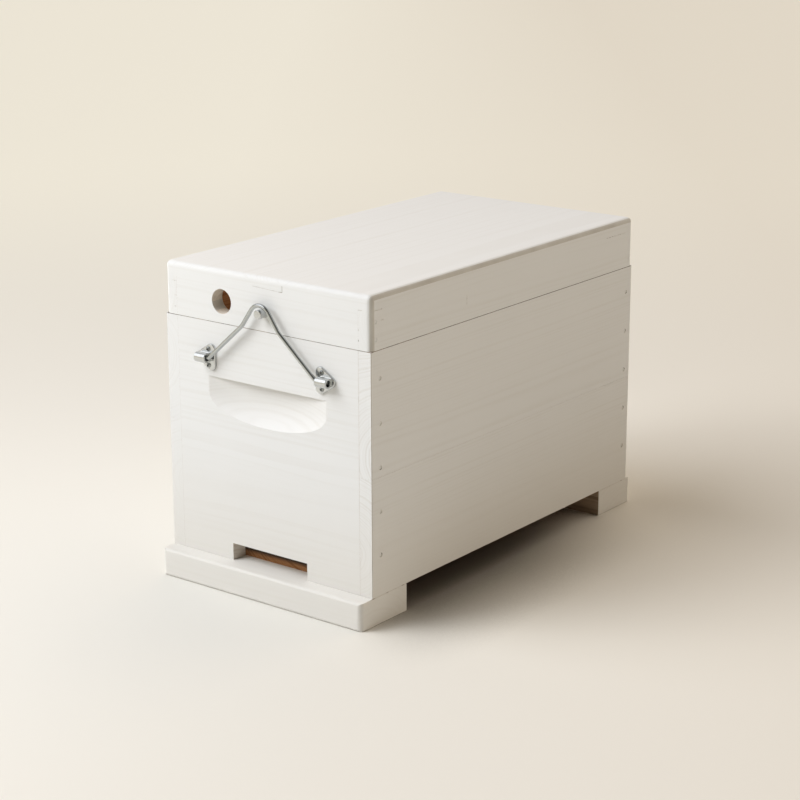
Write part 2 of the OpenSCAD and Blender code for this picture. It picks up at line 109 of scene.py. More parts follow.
def wood_figure(tree, along, pith_mm, ring_mm, wander_mm, seed):
    """Latewood lines and fibres of a solid plank whose rings lie about a pith along one axis."""
    across = [0.0 if axis == along else 1.0 for axis in AXES]
    place = add(tree, "ShaderNodeTexCoord").outputs["Object"]
    from_pith = add(tree, "ShaderNodeVectorMath", {0: place, 1: [v * MM for v in pith_mm]},
                    operation="SUBTRACT").outputs[0]
    flat = add(tree, "ShaderNodeVectorMath", {0: from_pith, 1: across}, operation="MULTIPLY").outputs[0]
    radius = add(tree, "ShaderNodeVectorMath", {0: flat}, operation="LENGTH").outputs["Value"]
    slow = [1 / (WANDER_ACROSS * MM) if v else 1 / (WANDER_ALONG * MM) for v in across]
    drift = add(tree, "ShaderNodeVectorMath", {0: from_pith, 1: slow}, operation="MULTIPLY").outputs[0]
    wander = add(tree, "ShaderNodeTexNoise", {"Vector": drift, "W": seed, "Scale": 1.0, "Detail": 2.5},
                 noise_dimensions="4D").outputs["Fac"]
    shifted = add(tree, "ShaderNodeMath", {0: wander, 1: wander_mm * MM, 2: radius},
                  operation="MULTIPLY_ADD").outputs[0]
    turns = add(tree, "ShaderNodeMath", {0: shifted, 1: 1 / (ring_mm * MM), 2: seed * SEED_STEP},
                operation="MULTIPLY_ADD").outputs[0]
    # Wet and dry years make the rings uneven, so they come from a noise along the radius
    year = add(tree, "ShaderNodeTexNoise", {"W": turns, "Scale": 1.0, "Detail": 1.5},
               noise_dimensions="1D").outputs["Fac"]
    late = add(tree, "ShaderNodeMapRange", {"Value": year, "From Min": 0.42, "From Max": 0.72},
               interpolation_type="SMOOTHSTEP").outputs[0]
    fine = [1 / (FIBRE_ACROSS * MM) if v else 1 / (FIBRE_ALONG * MM) for v in across]
    strand = add(tree, "ShaderNodeVectorMath", {0: from_pith, 1: fine}, operation="MULTIPLY").outputs[0]
    fibre = add(tree, "ShaderNodeTexNoise", {"Vector": strand, "W": seed, "Scale": 1.0, "Detail": 3.0,
                                             "Roughness": 0.6}, noise_dimensions="4D").outputs["Fac"]
    return place, late, fibre


def painted_softwood(name, along, pith_mm, ring_mm, wander_mm, seed, show=1.0, coat=PAINT):
    """Softwood under brushed matt white paint: the grain stands through the paint as faint
    grey lines and a low relief, and the paint is a little uneven and chalky."""
    material, tree, shader = new_material(name)
    place, late, fibre = wood_figure(tree, along, pith_mm, ring_mm, wander_mm, seed)
    patch = add(tree, "ShaderNodeTexNoise", {"Vector": place, "Scale": 1 / (COAT_PATCH * MM), "Detail": 2.0})
    grain = add(tree, "ShaderNodeMath", {0: late, 1: fibre}, operation="MULTIPLY").outputs[0]
    broken = add(tree, "ShaderNodeMath", {0: grain, 1: patch.outputs["Fac"]}, operation="MULTIPLY").outputs[0]
    depth = add(tree, "ShaderNodeMath", {0: broken, 1: 0.45 * show}, operation="MULTIPLY",
                use_clamp=True).outputs[0]
    brushed = add(tree, "ShaderNodeMix", {"Factor": depth, 6: paint_pot(coat), 7: paint_pot(PAINT_LOW)},
                  data_type="RGBA").outputs[2]
    # Painted shade and warm bounce light from the ground tint the lowest part a little darker and warmer
    height = add(tree, "ShaderNodeSeparateXYZ", {0: place}).outputs["Z"]
    ground_shade = add(tree, "ShaderNodeMapRange", {"Value": height, "From Min": GROUND_SHADE_HEIGHT * MM, "From Max": 0.0,
                                            "To Min": 0.0, "To Max": 0.55},
               interpolation_type="SMOOTHSTEP").outputs[0]
    colour = add(tree, "ShaderNodeMix", {"Factor": ground_shade, 6: brushed, 7: paint_pot(PAINT_GROUND_SHADE)},
                 data_type="RGBA").outputs[2]
    tree.links.new(colour, shader.inputs["Base Color"])
    rough = add(tree, "ShaderNodeMapRange", {"Value": patch.outputs["Fac"], "To Min": 0.46, "To Max": 0.62})
    tree.links.new(rough.outputs[0], shader.inputs["Roughness"])
    relief = add(tree, "ShaderNodeMath", {0: grain, 1: -1.0, 2: fibre}, operation="MULTIPLY_ADD").outputs[0]
    bump = add(tree, "ShaderNodeBump", {"Height": relief, "Strength": 0.3 * show,
                                        "Distance": PAINT_RELIEF * MM})
    tree.links.new(bump.outputs[0], shader.inputs["Normal"])
    shader.inputs["IOR"].default_value = 1.5
    return material


def bare_softwood(name, along, pith_mm, light, dark, seed, painted_shade_colour=None):
    """Sawn softwood with no coat, or a thin one: darker latewood and a dry fibrous surface. Painted shade may
    darken what looks upwards, and the upper edge of a board."""
    material, tree, shader = new_material(name)
    place, late, fibre = wood_figure(tree, along, pith_mm, BARE_RING, BARE_WANDER, seed)
    depth = add(tree, "ShaderNodeMath", {0: late, 1: 0.7, 2: fibre}, operation="MULTIPLY_ADD").outputs[0]
    tone = add(tree, "ShaderNodeMapRange", {"Value": depth, "From Min": 0.3, "From Max": 1.2}).outputs[0]
    colour = add(tree, "ShaderNodeMix", {"Factor": tone, 6: paint_pot(light), 7: paint_pot(dark)},
                 data_type="RGBA").outputs[2]
    if painted_shade_colour:
        normal = add(tree, "ShaderNodeNewGeometry").outputs["True Normal"]
        upward = add(tree, "ShaderNodeSeparateXYZ", {0: normal}).outputs["Z"]
        facing_up = add(tree, "ShaderNodeMapRange", {"Value": upward, "From Min": 0.4, "From Max": 0.8})
        height = add(tree, "ShaderNodeSeparateXYZ", {0: place}).outputs["Z"]
        lip = add(tree, "ShaderNodeMapRange", {"Value": height, "From Min": SHADE_EDGE_FROM * MM,
                                               "From Max": SHADE_EDGE_TO * MM})
        shaded = add(tree, "ShaderNodeMath", {0: facing_up.outputs[0], 1: lip.outputs[0]}, operation="MAXIMUM")
        colour = add(tree, "ShaderNodeMix", {"Factor": shaded.outputs[0], 6: colour, 7: paint_pot(painted_shade_colour)},
                     data_type="RGBA").outputs[2]
    tree.links.new(colour, shader.inputs["Base Color"])
    bump = add(tree, "ShaderNodeBump", {"Height": depth, "Strength": 0.5, "Distance": SAWN_RELIEF * MM})
    tree.links.new(bump.outputs[0], shader.inputs["Normal"])
    shader.inputs["Roughness"].default_value = 0.75
    return material


def plated_metal(name, base, roughness, grit_mm, relief):
    """Metal with a dull bright plate: soft highlights, slightly clouded, with a fine skin."""
    material, tree, shader = new_material(name)
    place = add(tree, "ShaderNodeTexCoord").outputs["Object"]
    cloud = add(tree, "ShaderNodeTexNoise", {"Vector": place, "Scale": 1 / (PLATE_CLOUD * MM), "Detail": 3.0})
    skin = add(tree, "ShaderNodeTexNoise", {"Vector": place, "Scale": 1 / (grit_mm * MM), "Detail": 2.0})
    colour = add(tree, "ShaderNodeMix", {"Factor": cloud.outputs["Fac"], 6: paint_pot(base[0]),
                                         7: paint_pot(base[1])}, data_type="RGBA").outputs[2]
    tree.links.new(colour, shader.inputs["Base Color"])
    rough = add(tree, "ShaderNodeMapRange", {"Value": cloud.outputs["Fac"], "To Min": roughness - 0.06,
                                             "To Max": roughness + 0.08})
    tree.links.new(rough.outputs[0], shader.inputs["Roughness"])
    bump = add(tree, "ShaderNodeBump", {"Height": skin.outputs["Fac"], "Strength": relief,
                                        "Distance": PLATE_RELIEF * MM})
    tree.links.new(bump.outputs[0], shader.inputs["Normal"])
    shader.inputs["Metallic"].default_value = 1.0
    return material


def patchy_dirt_and_shade(name, light, dark, clump_mm, low, high, gap_shade_rear=0.0):
    """Dust and old wax in an open joint, and painted shade on rounded edges: brown, dull and patchy, so the
    line breaks up. Painted shade of a widening gap can darken a joint towards the rear."""
    material, tree, shader = new_material(name)
    place = add(tree, "ShaderNodeTexCoord").outputs["Object"]
    clump = add(tree, "ShaderNodeTexNoise", {"Vector": place, "Scale": 1 / (clump_mm * MM),
                                             "Detail": 3.0}).outputs["Fac"]
    lengthwise = add(tree, "ShaderNodeSeparateXYZ", {0: place}).outputs["Y"]
    rearward = add(tree, "ShaderNodeMapRange", {"Value": lengthwise, "From Min": -GAP_SHADE_RAMP * MM,
                                                "From Max": 0.0, "To Min": 0.0, "To Max": gap_shade_rear}).outputs[0]
    deeper = add(tree, "ShaderNodeMath", {0: clump, 1: rearward}, operation="SUBTRACT").outputs[0]
    share = add(tree, "ShaderNodeMapRange", {"Value": deeper, "From Min": low, "From Max": high}).outputs[0]
    colour = add(tree, "ShaderNodeMix", {"Factor": share, 6: paint_pot(dark), 7: paint_pot(light)},
                 data_type="RGBA").outputs[2]
    tree.links.new(colour, shader.inputs["Base Color"])
    bump = add(tree, "ShaderNodeBump", {"Height": clump, "Strength": 0.4, "Distance": DIRT_RELIEF * MM})
    tree.links.new(bump.outputs[0], shader.inputs["Normal"])
    shader.inputs["Roughness"].default_value = 0.85
    return material


def recess_grime_and_shade(name, light, dark):
    """Grime and shade in a screw's recess: nearly black, dull and a little patchy."""
    material, tree, shader = new_material(name)
    place = add(tree, "ShaderNodeTexCoord").outputs["Object"]
    patch = add(tree, "ShaderNodeTexNoise", {"Vector": place, "Scale": 1 / (RECESS_PATCH * MM)}).outputs["Fac"]
    colour = add(tree, "ShaderNodeMix", {"Factor": patch, 6: paint_pot(dark), 7: paint_pot(light)},
                 data_type="RGBA").outputs[2]
    tree.links.new(colour, shader.inputs["Base Color"])
    shader.inputs["Roughness"].default_value = 0.7
    return material


zinc = plated_metal("zinc_plated_die_casting", ("#d3d5d5", "#c1c4c5"), 0.22, 0.8, 0.1)
wire_zinc = plated_metal("zinc_plated_drawn_wire", ("#c2c5c6", "#b0b4b5"), 0.15, 0.6, 0.04)
screw_zinc = plated_metal("zinc_plated_screw_steel", ("#b4b7b6", "#9fa3a3"), 0.28, 0.6, 0.1)
galvanised = plated_metal("galvanised_sheet_steel", ("#a9adae", "#8e9394"), 0.42, 1.6, 0.2)
dark_recess = recess_grime_and_shade("grime_and_shade_in_screw_recess", "#4a4845", "#2c2b29")
# The lid joint's dirt darkens towards the rear as painted shade of a widening gap
joint_dirt_and_shade = patchy_dirt_and_shade("dust_wax_and_painted_shade_in_lid_joint", "#94806e", "#4f4033", 9, 0.38, 0.62, 0.2)
seam_dirt = patchy_dirt_and_shade("dust_in_painted_seam", "#dedad3", "#9c9082", 11, 0.3, 0.47)
crack_dirt_and_cup_shade = patchy_dirt_and_shade("dust_in_paint_cracks_and_shade_in_nail_cups", "#dcd8d0", "#6b5f52", 4, 0.42, 0.5)
lap_dirt = patchy_dirt_and_shade("dust_in_open_lap", "#c9c4bb", "#8f8578", 6, 0.3, 0.6)
near_corner_darkening = patchy_dirt_and_shade("darker_paint_on_near_corner", "#c4bcb0", "#a1978a", 25, 0.3, 0.7)
lid_edge_shade = patchy_dirt_and_shade("handled_paint_on_lid_edge", "#d9d7d0", "#cac7bf", 30, 0.3, 0.7)
bore_wood = bare_softwood("thinly_painted_bore", "x", (0, -190, 262), "#ebe4d9", "#dbd0c1", seed=6.0)
pale_x = bare_softwood("bare_weathered_softwood", "x", (0, 0, -60), "#b9a48d", "#8f7a64", seed=7.0)
bare_x = bare_softwood("bare_sawn_softwood_across", "x", (0, -150, 40), BARE_LIGHT, BARE_DARK, seed=3.0)
# The floor board's top and upper edge are darkened by painted shade
shaded_floor_wood = bare_softwood("floor_board_with_painted_shade", "y", (60, 0, 130), BARE_LIGHT, BARE_DARK, seed=4.0,
                        painted_shade_colour=PAINTED_FLOOR_SHADE)
bare_y = bare_softwood("bare_sawn_softwood_lengthwise", "y", (60, 0, 130), BARE_LIGHT, BARE_DARK, seed=4.0)


# Meshes

# Segments of a rounded board edge
ROUND_SEGMENTS = 5
# A joint's dirt reaches this far from it in mm, on faces that slant between these shares
SEAM_REACH = 0.9
SLANT, FLAT = 0.08, 0.99
# Least share by which a face has to look inwards to be bare
INWARD = 0.3


def make_object(name, bm, *materials):
    """Object at the origin that holds a bmesh and its materials."""
    mesh = bpy.data.meshes.new(name)
    bm.to_mesh(mesh)
    bm.free()
    for material in materials:
        mesh.materials.append(material)
    made = bpy.data.objects.new(name, mesh)
    bpy.context.scene.collection.objects.link(made)
    return made


def settle(obj):
    """Makes the modified shape the object's own mesh."""
    graph = bpy.context.evaluated_depsgraph_get()
    shaped = bpy.data.meshes.new_from_object(obj.evaluated_get(graph))
    obj.modifiers.clear()
    plain = obj.data
    obj.data = shaped
    bpy.data.meshes.remove(plain)
    return obj


def carve(obj, *cutters, operation="DIFFERENCE"):
    """Cuts the cutters out of an object, or joins them to it, and removes them."""
    for cutter in cutters:
        step = obj.modifiers.new("carve", "BOOLEAN")
        step.operation = operation
        step.solver = "EXACT"
        step.material_mode = "TRANSFER"
        step.object = cutter
    settle(obj)
    for cutter in cutters:
        shape = cutter.data
        bpy.data.objects.remove(cutter)
        bpy.data.meshes.remove(shape)
    return obj


def verts_in(geometry):
    """The vertices of what an operator gives back."""
    return [part for part in geometry if isinstance(part, bmesh.types.BMVert)]


def edges_in(geometry):
    """The edges of what an operator gives back."""
    return [part for part in geometry if isinstance(part, bmesh.types.BMEdge)]


def close_up(bm):
    """Merges doubled vertices, and turns the faces outwards."""
    bmesh.ops.remove_doubles(bm, verts=bm.verts, dist=SAME_PLACE)
    bmesh.ops.recalc_face_normals(bm, faces=bm.faces)


def turn_profile(bm, points, centre, axis, steps):
    """Turns a line of points once round an axis."""
    profile = [bm.verts.new(point) for point in points]
    edges = [bm.edges.new(pair) for pair in zip(profile, profile[1:])]
    bmesh.ops.spin(bm, geom=profile + edges, cent=centre, axis=axis, angle=2 * math.pi, steps=steps,
                   use_merge=True)


def box_shape(lo, hi):
    """bmesh of a box between two corners."""
    bm = bmesh.new()
    lo, hi = Vector(lo), Vector(hi)
    bmesh.ops.create_cube(bm, size=1.0)
    bmesh.ops.scale(bm, vec=hi - lo, verts=bm.verts)
    bmesh.ops.translate(bm, vec=(lo + hi) / 2, verts=bm.verts)
    return bm


def board(name, lo, hi, rounds, ease, materials):
    """Board with eased edges, and other rounds in mm on edges named by the faces that meet there."""
    bm = box_shape(lo, hi)
    wide = {frozenset((key[:2], key[2:])): value for key, value in rounds.items()}
    widest = max([ease, *wide.values()])
    weight = bm.edges.layers.float.new("bevel_weight_edge")
    for edge in bm.edges:
        middle = (edge.verts[0].co + edge.verts[1].co) / 2
        touched = [("-" if middle[i] < (lo[i] + hi[i]) / 2 else "+") + axis for i, axis in enumerate(AXES)
                   if min(middle[i] - lo[i], hi[i] - middle[i]) < SAME_PLANE]
        edge[weight] = wide.get(frozenset(touched), ease) / widest
    made = make_object(name, bm, *materials)
    soften = made.modifiers.new("soften", "BEVEL")
    soften.limit_method = "WEIGHT"
    soften.offset_type = "OFFSET"
    soften.width = widest * MM
    soften.segments = ROUND_SEGMENTS
    soften.profile = 0.5
    soften.use_clamp_overlap = False
    return settle(made)


def slot_of(obj, material):
    """Place of a material among those of an object."""
    return obj.data.materials.find(material.name)


def looks(polygon, face):
    """How far a polygon looks a given way, such as -y."""
    return (1 if face[0] == "+" else -1) * polygon.normal[AXES.index(face[1])]


def coat_faces(obj, material, *faces, least=0.95):
    """Gives the faces that look a given way, and still have the first material, another one."""
    slot = slot_of(obj, material)
    for polygon in obj.data.polygons:
        if polygon.material_index == 0 and any(looks(polygon, face) > least for face in faces):
            polygon.material_index = slot


def dirty_seam(obj, material, axis, place_mm, *faces):
    """Gives the eased edges by a joint across an axis, on the sides that are named, its dirt."""
    slot = slot_of(obj, material)
    i = AXES.index(axis)
    for polygon in obj.data.polygons:
        beside = abs(polygon.center[i] - place_mm * MM) < SEAM_REACH * MM
        slanted = SLANT < abs(polygon.normal[i]) < FLAT
        if beside and slanted and any(looks(polygon, face) > SLANT for face in faces):
            polygon.material_index = slot


def nicks(obj, material, *marks):
    """Cuts thin marks into a board's outer skin: two corners of each in mm, and its tilt in degrees."""
    for lo, hi, tilt in marks:
        mark = box_shape([v * MM for v in lo], [v * MM for v in hi])
        middle = (Vector(lo) + Vector(hi)) / 2 * MM
        turn = Matrix.Rotation(math.radians(tilt), 3, "Y")
        bmesh.ops.rotate(mark, cent=middle, matrix=turn, verts=mark.verts)
        carve(obj, make_object("nick", mark, material))


def finish_piece(obj, body, replaced, angle=35):
    """Smooth shading up to an angle, the body that carries the piece, and the node it stands for."""
    obj.data.shade_smooth()
    obj.data.set_sharp_from_angle(angle=math.radians(angle))
    even = obj.modifiers.new("even", "WEIGHTED_NORMAL")
    even.keep_sharp = True
    settle(obj)
    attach(obj, body)
    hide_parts(replaced)


def pegs(name, places, axis, radius, depth, material, segments=24):
    """Cutter of round pegs, each reaching depth to both sides of its place along an axis."""
    bm = bmesh.new()
    turn = {"x": Matrix.Rotation(math.pi / 2, 4, "Y"), "y": Matrix.Rotation(math.pi / 2, 4, "X")}[axis]
    for place in places:
        bmesh.ops.create_cone(bm, cap_ends=True, segments=segments, radius1=radius, radius2=radius,
                              depth=2 * depth, matrix=Matrix.Translation(place) @ turn)
    return make_object(name, bm, material)


# Sizes repeated from the part's source, in mm

FRONT, REAR = -227.0, 233.0
WALL_Y = {"front": FRONT, "rear": REAR}
OUTWARD = {"front": -1, "rear": 1}
HALF_WIDTH, CORNER_JOINT = 130, 115
LID_Z, RAIL_H = 274.0, 29.0
LID_RAIL_H, LID_RAIL_MID = 39, 7.5
SLOT_HALF, SLOT_TOP = 48.49, 18
VENT_X, VENT_RISE, VENT_R = -55.51, 22, 12.5
HANDHOLD_DEPTH = 10.0
HANDHOLD_HALF = 76.05
HANDHOLD_STRAIGHT = 16.0
HANDHOLD_FOOT = 26.0
LEDGE_Z = 218.0
AXIS_OUT = (HANDHOLD_HALF ** 2 - HANDHOLD_DEPTH ** 2) / (2 * HANDHOLD_DEPTH)
CUTTER_R = AXIS_OUT + HANDHOLD_DEPTH
FOOT_R = (HANDHOLD_FOOT ** 2 + HANDHOLD_DEPTH ** 2) / (2 * HANDHOLD_DEPTH)
NAIL_ROWS = [70.5, 114.5, 158.5, 202.5, 246.5]
NAIL_COLUMNS = [FRONT + 13.5, REAR - 11.0]
LID_NAIL_ROWS = [LID_Z + share * LID_RAIL_H for share in (0.28, 0.72)]
LID_NAIL_COLUMNS = [FRONT + LID_RAIL_MID, REAR - LID_RAIL_MID]

# Cutters of the scene alone: how far they overrun or stand out of the wood, in mm
OVERRUN = 1.0
CUTTER_STANDS_OUT = 12
VENT_REACH = 12
# Half of the turn that takes the handhold's cutter past both ends, in degrees
CUTTER_TURN = 19


def handhold_cutter(wall, material):
    """Shaper cutter that has run into the wall: a disc with a straight rim and a round foot."""
    bm = bmesh.new()
    out = OUTWARD[wall]
    centre = Vector((0, (WALL_Y[wall] + out * AXIS_OUT) * MM, 0))
    foot = bm.verts.new(centre + Vector((0, -out * CUTTER_R * MM, (LEDGE_Z - HANDHOLD_STRAIGHT) * MM)))
    sweep = math.asin((HANDHOLD_FOOT + OVERRUN) / FOOT_R)
    arc = bmesh.ops.spin(bm, geom=[foot], cent=foot.co + Vector((0, out * FOOT_R * MM, 0)), axis=(1, 0, 0),
                         angle=out * sweep, steps=28)
    low = verts_in(arc["geom_last"])[0]
    front_low = bm.verts.new(low.co + Vector((0, out * CUTTER_STANDS_OUT * MM, 0)))
    front_high = bm.verts.new((0, front_low.co.y, LEDGE_Z * MM))
    ledge = bm.verts.new((0, foot.co.y, LEDGE_Z * MM))
    for pair in ((low, front_low), (front_low, front_high), (front_high, ledge), (ledge, foot)):
        bm.edges.new(pair)
    half = math.radians(CUTTER_TURN)
    bmesh.ops.rotate(bm, cent=centre, matrix=Matrix.Rotation(-half, 3, "Z"), verts=bm.verts)
    bmesh.ops.spin(bm, geom=bm.verts[:] + bm.edges[:], cent=centre, axis=(0, 0, 1), angle=2 * half, steps=96)
    bmesh.ops.remove_doubles(bm, verts=bm.verts, dist=SAME_PLACE)
    bmesh.ops.holes_fill(bm, edges=[e for e in bm.edges if e.is_boundary], sides=0)
    bmesh.ops.recalc_face_normals(bm, faces=bm.faces)
    return make_object("handhold_cutter", bm, material)


# Walls: the rounds of their edges in mm

BOARD_EASE = 0.3
PANEL_TOP_EASE = 0.25
WALL_TOP_EASE, WALL_FOOT_EASE = 0.3, 0.4
FRONT_CORNER_EASE, REAR_CORNER_EASE = 0.5, 0.9
# Paint nearly closes the upright joints of the corners
SEAM_EASE = {"left": 0.05, "right": 0.15}
# Cups that the nail heads sit in, and how far a nail stays from a board's edge
CUP_R, CUP_DEPTH, NAIL_MARGIN = 2.15, 0.7, 3

# Of each end board: the faces that look out and in, its pith, its seed, and the joints that took dirt
PANELS = {
    "front": ("-y", "+y", (0, -150, 118), 1.0, [CORNER_JOINT]),
    "rear": ("+y", "-y", (0, 160, 150), 2.0, [-CORNER_JOINT, CORNER_JOINT]),
}
for wall, (out, inner, pith, seed, joints) in PANELS.items():
    node_name = wall + "_panel"
    lo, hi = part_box(node_name)
    paint = painted_softwood("brushed_paint_on_" + node_name, "x", pith, ring_mm=3.4, wander_mm=16.0, seed=seed)
    # Painted shade: the handhold's paint is a touch darker
    scoop = painted_softwood(f"paint_in_{wall}_handhold", "x", pith, ring_mm=2.4, wander_mm=12.0, seed=seed,
                             show=1.2, coat=PAINT_HANDHOLD_SHADE)
    rounds = {out + "+z": PANEL_TOP_EASE, out + "-x": SEAM_EASE["left"], out + "+x": SEAM_EASE["right"]}
    panel = board(node_name + "_painted", lo, hi, rounds, BOARD_EASE, [paint, bare_x, joint_dirt_and_shade, seam_dirt])
    cutters = [handhold_cutter(wall, scoop)]
    if wall == "front":
        slot_low = (-SLOT_HALF * MM, lo.y - OVERRUN * MM, lo.z - OVERRUN * MM)
        slot_high = (SLOT_HALF * MM, hi.y + OVERRUN * MM, lo.z + SLOT_TOP * MM)
        cutters.append(make_object("slot_cutter", box_shape(slot_low, slot_high), bore_wood))
    carve(panel, *cutters)
    coat_faces(panel, bare_x, inner, least=INWARD)
    coat_faces(panel, bare_x, "+z")
    dirty_seam(panel, joint_dirt_and_shade, "z", LID_Z, out)
    for x in joints:
        dirty_seam(panel, seam_dirt, "x", x, out)
    finish_piece(panel, "box", node_name, angle=20)

SIDES = {"right": "+x", "left": "-x"}
INNER = {"right": "-x", "left": "+x"}
# How strongly the end grain shows: the coat is thicker on the left
END_SHOW = {"right": 3.0, "left": 0.9}
WALL_PITHS = {
    "right_upper_board": (158, 0, 168), "right_lower_board": (104, 0, 70),
    "left_upper_board": (-156, 0, 232), "left_lower_board": (-100, 0, 100),
}
for seed, (node_name, pith) in enumerate(WALL_PITHS.items(), start=5):
    hand = node_name.split("_")[0]
    out, inner = SIDES[hand], INNER[hand]
    lo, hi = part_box(node_name)
    figure = {"along": "y", "pith_mm": pith, "ring_mm": 2.3, "wander_mm": 9.0, "seed": float(seed)}
    paint = painted_softwood("brushed_paint_on_" + node_name, **figure)
    end_paint = painted_softwood("paint_sunk_in_end_grain_of_" + node_name, **figure, show=END_SHOW[hand])
    rounds = {"-y" + out: FRONT_CORNER_EASE, "+y" + out: REAR_CORNER_EASE,
              "-y" + inner: SEAM_EASE[hand], "+y" + inner: SEAM_EASE[hand]}
    if "upper" in node_name:
        rounds[out + "+z"] = WALL_TOP_EASE
    else:
        rounds[out + "-z"] = WALL_FOOT_EASE
    side_board = board(node_name + "_painted", lo, hi, rounds, BOARD_EASE,
                       [paint, bare_y, joint_dirt_and_shade, end_paint, seam_dirt, near_corner_darkening])
    face = hi.x if hand == "right" else lo.x
    heads = [Vector((face, y * MM, z * MM)) for y in NAIL_COLUMNS for z in NAIL_ROWS
             if lo.z + NAIL_MARGIN * MM < z * MM < hi.z - NAIL_MARGIN * MM]
    # The nail cups' walls take the dark crack colour as painted shade round the heads
    carve(side_board, pegs("nail_cups", heads, "x", CUP_R * MM, CUP_DEPTH * MM, crack_dirt_and_cup_shade))
    coat_faces(side_board, bare_y, inner, least=INWARD)
    coat_faces(side_board, bare_y, "+z")
    coat_faces(side_board, end_paint, "-y", "+y")
    dirty_seam(side_board, joint_dirt_and_shade, "z", LID_Z, out, "-y", "+y")
    # Darker along the near corner's round, on the side away from the window
    for polygon in side_board.data.polygons:
        if polygon.normal.x > 0.5 and -0.95 < polygon.normal.y < -SLANT:
            polygon.material_index = slot_of(side_board, near_corner_darkening)
    dirty_seam(side_board, seam_dirt, "z", RAIL_H, out)
    finish_piece(side_board, "box", node_name)


# Rails under the box: the rounds of their edges in mm

RAIL_EASE, RAIL_END_FOOT = 0.5, 1.0
RAIL_ROUND, RAIL_CORNER = 3.0, 5.5
RAILS = {"front_rail": ("-y", "+y", (0, -224, -34)), "rear_rail": ("+y", "-y", (0, 226, -38))}
for seed, (node_name, (out, inner, pith)) in enumerate(RAILS.items(), start=11):
    lo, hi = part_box(node_name)
    figure = {"along": "x", "pith_mm": pith, "ring_mm": 3.0, "wander_mm": 10.0, "seed": float(seed)}
    paint = painted_softwood("brushed_paint_on_" + node_name, **figure)
    end_paint = painted_softwood("paint_sunk_in_end_grain_of_" + node_name, **figure, show=1.6)
    rounds = {out + "+z": RAIL_ROUND, out + "-z": RAIL_ROUND, out + "+x": RAIL_CORNER, out + "-x": RAIL_CORNER,
              "+x-z": RAIL_END_FOOT, "-x-z": RAIL_END_FOOT}
    rail = board(node_name + "_painted", lo, hi, rounds, RAIL_EASE, [paint, pale_x, seam_dirt, end_paint])
    coat_faces(rail, pale_x, inner, "-z")
    coat_faces(rail, end_paint, "-x", "+x")
    dirty_seam(rail, seam_dirt, "z", RAIL_H, "-x", "+x")
    finish_piece(rail, "box", node_name)


# Lid: the rounds of its edges in mm

LID_CORNER, LID_TOP = 5.5, 5.2
LID_FOOT, LID_SIDE_FOOT = 0.25, 0.3
# Paint has closed the joints between the planks and down to the rails, so those edges stay sharp
CLOSED, LID_RAIL_EASE = 0.0, 0.06
LID_CUP_R, LID_CUP_DEPTH = 2.1, 0.4


def lid_rail_rounds(out):
    """Rounds of a side rail of the lid, whose outer face looks out."""
    return {out + "-y": LID_CORNER, out + "+y": LID_CORNER, out + "-z": LID_SIDE_FOOT, out + "+z": CLOSED,
            "-y-z": LID_FOOT, "+y-z": LID_FOOT, "-y+z": CLOSED, "+y+z": CLOSED}


def lid_plank_rounds(out):
    """Rounds of a plank of the lid, whose outer edge looks out."""
    return {out + "-y": LID_CORNER, out + "+y": LID_CORNER, out + "+z": LID_TOP, "-y+z": LID_TOP,
            "+y+z": LID_TOP}


# Of each piece: the way of its grain, its pith, the face that stays bare, and its rounds
LID_PIECES = {
    "lid_front_rail": ("x", (0, -190, 262), "+y", {"-y-z": LID_FOOT, "-y+z": CLOSED}),
    "lid_rear_rail": ("x", (0, 200, 258), "-y", {"+y-z": LID_FOOT, "+y+z": CLOSED}),
    "lid_left_rail": ("y", (-150, 0, 300), "+x", lid_rail_rounds("-x")),
    "lid_right_rail": ("y", (152, 0, 300), "-x", lid_rail_rounds("+x")),
    "lid_left_plank": ("y", (-50, 0, 270), "-z", lid_plank_rounds("-x")),
    "lid_right_plank": ("y", (96, 0, 262), "-z", lid_plank_rounds("+x")),
}
# Small marks of the making: an open lap at the planks' ends, cracks in the paint over the corner joints
LID_LAP = [((22.5, FRONT - 1.0, 316.2), (24.0, FRONT + 0.45, 322.6), 0),
           ((18.3, FRONT - 1.0, 315.75), (22.6, FRONT + 0.45, 316.35), 0),
           ((-15.0, FRONT - 1.0, 316.6), (18.6, FRONT + 0.2, 316.85), 2.3)]
LID_CRACKS = {
    "lid_right_rail": [((115.0, FRONT - 1.0, 292.8), (115.7, FRONT + 0.5, 294.8), 0),
                       ((115.0, FRONT - 1.0, 282.6), (115.7, FRONT + 0.5, 284.4), 0),
                       ((115.0, FRONT - 1.0, 312.7), (120.0, FRONT + 0.5, 314.0), 0),
                       ((129.5, -211.5, 302.0), (131.0, -208.0, 302.5), 0),
                       ((129.5, -221.0, 312.7), (131.0, -209.5, 314.0), 0),
                       ((129.6, 180.0, 312.75), (131.0, 219.0, 314.0), 0),
                       ((129.7, -75.0, 290.0), (131.0, -74.6, 300.0), 0)],
    "lid_left_rail": [((-120.0, FRONT - 1.0, 308.6), (-116.5, FRONT + 0.4, 309.0), 4),
                      ((-118.0, FRONT - 1.0, 293.6), (-115.0, FRONT + 0.4, 294.0), 0),
                      ((-118.5, FRONT - 1.0, 282.3), (-115.2, FRONT + 0.4, 282.7), -5)],
}
